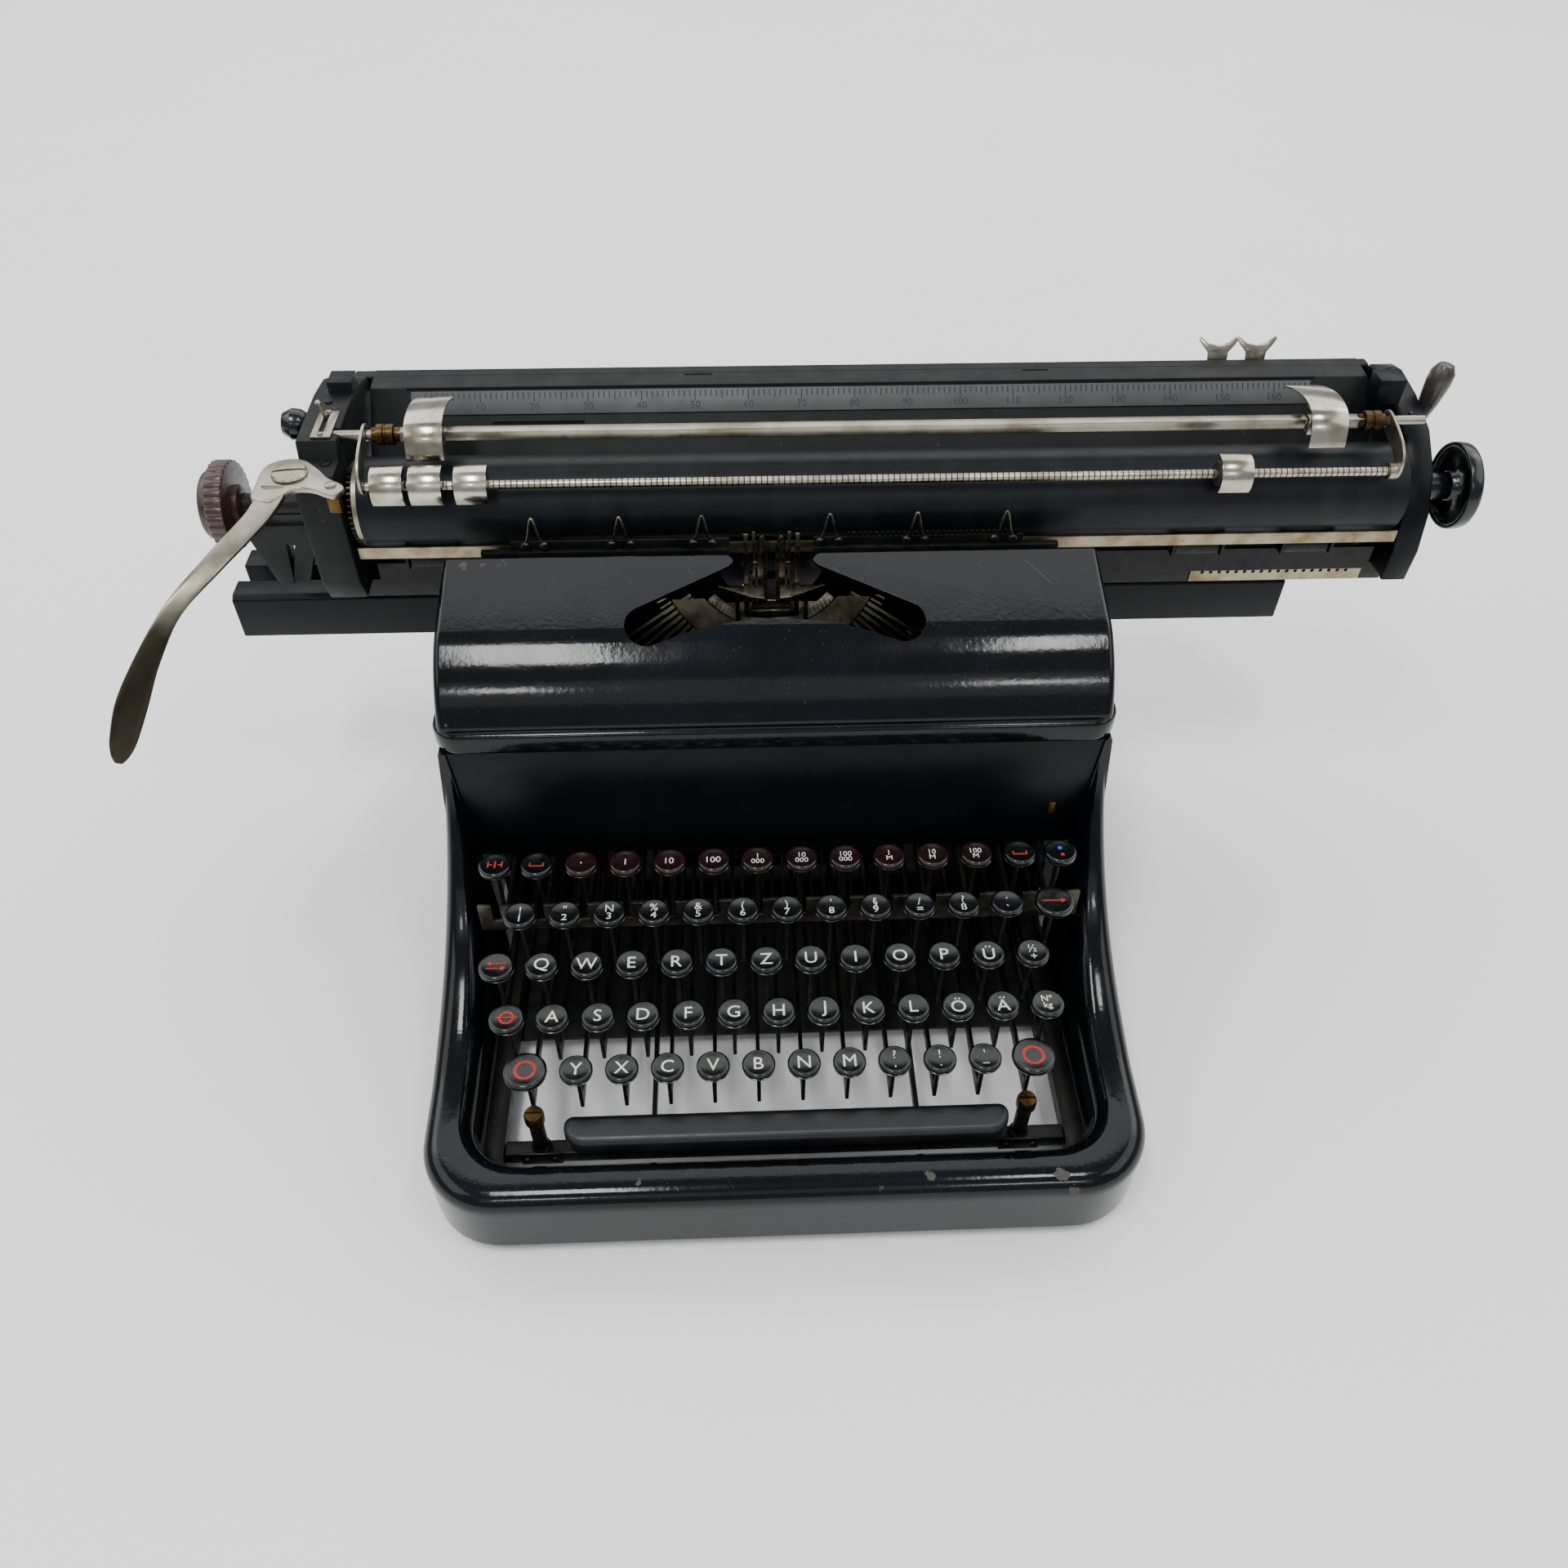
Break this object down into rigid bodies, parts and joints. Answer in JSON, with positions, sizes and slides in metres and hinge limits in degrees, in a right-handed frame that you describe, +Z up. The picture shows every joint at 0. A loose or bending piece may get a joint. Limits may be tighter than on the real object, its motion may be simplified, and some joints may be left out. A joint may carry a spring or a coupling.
{
  "type": "typewriter",
  "caption": "Wide-carriage manual typewriter: enamelled shell and hood, round keys on levers, type basket, and a sliding carriage with platen, paper bail and return lever.",
  "frame": {"origin": "centre of the bounding box in plan, on the desk surface under the feet", "axes": "+X to the typist's right along the platen, +Y away from the typist, +Z up"},
  "size_m": [0.5944, 0.346, 0.2458],
  "materials": {
    "enamel": "glossy blue-black stoved enamel, worn at the edges",
    "crackle_paint": "matt charcoal paint",
    "black_steel": "blackened steel",
    "nickel": "tarnished nickel plate",
    "steel": "bare steel, dulled",
    "brass": "aged brass",
    "rubber": "hard black rubber",
    "key_black": "black key plastic, satin to gloss",
    "bakelite": "dark brown moulded plastic"
  },
  "bodies": {
    "machine": {"base_frame": "black_steel", "base_pan": "black_steel", "body_shell": "enamel", "top_cover": "enamel", "back_cover": "enamel", "foot_front_left": "rubber", "foot_front_right": "rubber", "foot_rear_left": "rubber", "foot_rear_right": "rubber", "front_crossbar": "black_steel", "key_comb": "steel", "line_scale_left": "black_steel", "line_scale_right": "black_steel", "carriage_rail_beam": "enamel", "bell": "nickel"},
    "type_basket": {"type_segment": "steel", "typebars": "steel", "type_guide": "steel"},
    "striking_bar": {"striking_typebar": "steel"},
    "vibrator": {"ribbon_vibrator": "steel"},
    "spool_left": {"ribbon_spool_left": "black_steel"},
    "spool_right": {"ribbon_spool_right": "black_steel"},
    "spring_drum": {"mainspring_drum": "steel"},
    "escapement": {"escapement_wheel": "brass"},
    "carriage": {"carriage_truck": "brass", "carriage_plate_left": "crackle_paint", "carriage_plate_right": "crackle_paint", "paper_table": "crackle_paint", "front_strip": "brass", "upper_bar": "nickel"},
    "platen_roll": {"platen": "rubber", "platen_knob_left": "bakelite", "platen_knob_right": "key_black"},
    "feed": {"feed_roller": "rubber"},
    "bail": {"paper_bail": "nickel"},
    "return_lever": {"line_space_lever": "nickel"},
    "spacing_selector": {"line_space_selector": "nickel"},
    "carriage_release": {"carriage_release_lever": "key_black"},
    "paper_release": {"paper_release_lever": "bakelite"},
    "guide_left": {"paper_guide_left": "nickel"},
    "guide_right": {"paper_guide_right": "nickel"},
    "roller_1": {"bail_roller_1": "nickel"},
    "roller_2": {"bail_roller_2": "nickel"},
    "roller_3": {"bail_roller_3": "nickel"},
    "roller_4": {"bail_roller_4": "nickel"},
    "tabulator_bank": {"tabulator_keys": "bakelite"},
    "number_row": {"number_keys": "key_black"},
    "upper_row": {"upper_letter_keys": "key_black"},
    "home_row": {"home_letter_keys": "key_black"},
    "lower_row": {"lower_letter_keys": "key_black"},
    "tab_set": {"tab_set_key": "key_black"},
    "tab_left": {"tab_key_left": "key_black"},
    "tab_right": {"tab_key_right": "key_black"},
    "ribbon_colour": {"ribbon_colour_key": "key_black"},
    "backspace": {"backspace_key": "key_black"},
    "margin_release": {"margin_release_key": "key_black"},
    "shift_lock": {"shift_lock_key": "key_black"},
    "shift_left": {"shift_key_left": "key_black"},
    "shift_right": {"shift_key_right": "key_black"},
    "space": {"space_bar": "key_black"}
  },
  "joints": [
    {"name": "carriage_travel", "type": "slide", "parent": "machine", "child": "carriage", "axis": [1, 0, 0], "range_m": [-0.263, 0.157]},
    {"name": "platen_turn", "type": "hinge", "parent": "carriage", "child": "platen_roll", "pos_m": [-0.0286, 0.0923, 0.2017], "axis": [1, 0, 0], "continuous": true},
    {"name": "feed_turn", "type": "hinge", "parent": "carriage", "child": "feed", "pos_m": [-0.0286, 0.0923, 0.1741], "axis": [1, 0, 0], "continuous": true},
    {"name": "bail_swing", "type": "hinge", "parent": "carriage", "child": "bail", "pos_m": [-0.0286, 0.096, 0.234], "axis": [1, 0, 0], "range_deg": [-50, 0]},
    {"name": "roller_1_shift", "type": "slide", "parent": "bail", "child": "roller_1", "axis": [1, 0, 0], "range_m": [-0.002, 0]},
    {"name": "roller_2_shift", "type": "slide", "parent": "bail", "child": "roller_2", "axis": [1, 0, 0], "range_m": [0, 0.004]},
    {"name": "roller_3_shift", "type": "slide", "parent": "bail", "child": "roller_3", "axis": [1, 0, 0], "range_m": [0, 0.15]},
    {"name": "roller_4_shift", "type": "slide", "parent": "bail", "child": "roller_4", "axis": [1, 0, 0], "range_m": [-0.15, 0.06]},
    {"name": "guide_left_shift", "type": "slide", "parent": "carriage", "child": "guide_left", "axis": [1, 0, 0], "range_m": [-0.003, 0.15]},
    {"name": "guide_right_shift", "type": "slide", "parent": "carriage", "child": "guide_right", "axis": [1, 0, 0], "range_m": [-0.15, 0.003]},
    {"name": "return_lever_pull", "type": "hinge", "parent": "carriage", "child": "return_lever", "pos_m": [-0.2346, 0.07, 0.229], "axis": [0, 0, 1], "range_deg": [0, 20], "stiffness_Nm_per_rad": 0.6, "springref_deg": -17.19},
    {"name": "spacing_select", "type": "slide", "parent": "carriage", "child": "spacing_selector", "axis": [0, 1, 0], "range_m": [-0.006, 0.006]},
    {"name": "carriage_release_press", "type": "hinge", "parent": "carriage", "child": "carriage_release", "pos_m": [-0.2356, 0.127, 0.208], "axis": [1, 0, 0], "range_deg": [-12, 0], "stiffness_Nm_per_rad": 0.4, "springref_deg": 11.46},
    {"name": "paper_release_pull", "type": "hinge", "parent": "carriage", "child": "paper_release", "pos_m": [0.2774, 0.127, 0.203], "axis": [1, 0, 0], "range_deg": [0, 22]},
    {"name": "basket_shift", "type": "slide", "parent": "machine", "child": "type_basket", "axis": [0, 0, 1], "range_m": [-0.006, 0], "stiffness_N_per_m": 65, "springref_m": 0.02},
    {"name": "typebar_swing", "type": "hinge", "parent": "type_basket", "child": "striking_bar", "pos_m": [-0.0286, 0.059, 0.1479], "axis": [1, 0, 0], "range_deg": [-138, 0]},
    {"name": "vibrator_lift", "type": "slide", "parent": "machine", "child": "vibrator", "axis": [0, 0, 1], "range_m": [0, 0.006]},
    {"name": "spool_left_turn", "type": "hinge", "parent": "machine", "child": "spool_left", "pos_m": [-0.1326, 0.016, 0.15], "axis": [0, 0, 1], "continuous": true},
    {"name": "spool_right_turn", "type": "hinge", "parent": "machine", "child": "spool_right", "pos_m": [0.0754, 0.016, 0.15], "axis": [0, 0, 1], "continuous": true},
    {"name": "drum_turn", "type": "hinge", "parent": "machine", "child": "spring_drum", "pos_m": [-0.1166, 0.138, 0.088], "axis": [0, 1, 0], "continuous": true},
    {"name": "escapement_turn", "type": "hinge", "parent": "machine", "child": "escapement", "pos_m": [-0.0286, 0.136, 0.1449], "axis": [0, 1, 0], "continuous": true},
    {"name": "tabulator_bank_press", "type": "hinge", "parent": "machine", "child": "tabulator_bank", "pos_m": [-0.0286, 0.053, 0.077], "axis": [1, 0, 0], "range_deg": [0, 5.5], "stiffness_Nm_per_rad": 6, "springref_deg": -8.59},
    {"name": "number_row_press", "type": "hinge", "parent": "machine", "child": "number_row", "pos_m": [-0.0286, 0.053, 0.0685], "axis": [1, 0, 0], "range_deg": [0, 5], "stiffness_Nm_per_rad": 7, "springref_deg": -8.59},
    {"name": "upper_row_press", "type": "hinge", "parent": "machine", "child": "upper_row", "pos_m": [-0.0286, 0.053, 0.06], "axis": [1, 0, 0], "range_deg": [0, 4.5], "stiffness_Nm_per_rad": 7, "springref_deg": -8.59},
    {"name": "home_row_press", "type": "hinge", "parent": "machine", "child": "home_row", "pos_m": [-0.0286, 0.053, 0.0515], "axis": [1, 0, 0], "range_deg": [0, 4.2], "stiffness_Nm_per_rad": 8, "springref_deg": -8.59},
    {"name": "lower_row_press", "type": "hinge", "parent": "machine", "child": "lower_row", "pos_m": [-0.0286, 0.053, 0.043], "axis": [1, 0, 0], "range_deg": [0, 4], "stiffness_Nm_per_rad": 8, "springref_deg": -8.59},
    {"name": "tab_set_press", "type": "hinge", "parent": "machine", "child": "tab_set", "pos_m": [-0.0286, 0.053, 0.077], "axis": [1, 0, 0], "range_deg": [0, 5.5], "stiffness_Nm_per_rad": 0.3, "springref_deg": -8.59},
    {"name": "tab_left_press", "type": "hinge", "parent": "machine", "child": "tab_left", "pos_m": [-0.0286, 0.053, 0.077], "axis": [1, 0, 0], "range_deg": [0, 5.5], "stiffness_Nm_per_rad": 0.3, "springref_deg": -8.59},
    {"name": "tab_right_press", "type": "hinge", "parent": "machine", "child": "tab_right", "pos_m": [-0.0286, 0.053, 0.077], "axis": [1, 0, 0], "range_deg": [0, 5.5], "stiffness_Nm_per_rad": 0.3, "springref_deg": -8.59},
    {"name": "ribbon_colour_press", "type": "hinge", "parent": "machine", "child": "ribbon_colour", "pos_m": [-0.0286, 0.053, 0.077], "axis": [1, 0, 0], "range_deg": [0, 5.5], "stiffness_Nm_per_rad": 0.3, "springref_deg": -8.59},
    {"name": "backspace_press", "type": "hinge", "parent": "machine", "child": "backspace", "pos_m": [-0.0286, 0.053, 0.0685], "axis": [1, 0, 0], "range_deg": [0, 5], "stiffness_Nm_per_rad": 0.4, "springref_deg": -8.59},
    {"name": "margin_release_press", "type": "hinge", "parent": "machine", "child": "margin_release", "pos_m": [-0.0286, 0.053, 0.06], "axis": [1, 0, 0], "range_deg": [0, 4.5], "stiffness_Nm_per_rad": 0.4, "springref_deg": -8.59},
    {"name": "shift_lock_press", "type": "hinge", "parent": "machine", "child": "shift_lock", "pos_m": [-0.0286, 0.053, 0.0515], "axis": [1, 0, 0], "range_deg": [0, 4.2], "stiffness_Nm_per_rad": 0.5, "springref_deg": -8.59},
    {"name": "shift_left_press", "type": "hinge", "parent": "machine", "child": "shift_left", "pos_m": [-0.0286, 0.053, 0.043], "axis": [1, 0, 0], "range_deg": [0, 4], "stiffness_Nm_per_rad": 0.6, "springref_deg": -8.59},
    {"name": "shift_right_press", "type": "hinge", "parent": "machine", "child": "shift_right", "pos_m": [-0.0286, 0.053, 0.043], "axis": [1, 0, 0], "range_deg": [0, 4], "stiffness_Nm_per_rad": 0.6, "springref_deg": -8.59},
    {"name": "space_press", "type": "hinge", "parent": "machine", "child": "space", "pos_m": [-0.0286, 0.039, 0.0146], "axis": [1, 0, 0], "range_deg": [0, 2.5], "stiffness_Nm_per_rad": 2, "springref_deg": -8.59}
  ],
  "couplings": [
    {"joint": "feed_turn", "follows": "platen_turn", "ratio": -2.9},
    {"joint": "spool_right_turn", "follows": "spool_left_turn", "ratio": 1},
    {"joint": "drum_turn", "follows": "carriage_travel", "rad_per_m": 33.3},
    {"joint": "escapement_turn", "follows": "carriage_travel", "rad_per_m": 80},
    {"joint": "typebar_swing", "follows": "home_row_press", "ratio": -32.8},
    {"joint": "vibrator_lift", "follows": "home_row_press", "m_per_rad": 0.08},
    {"joint": "shift_right_press", "follows": "shift_left_press", "ratio": 1},
    {"joint": "basket_shift", "follows": "shift_left_press", "m_per_rad": -0.085}
  ]
}
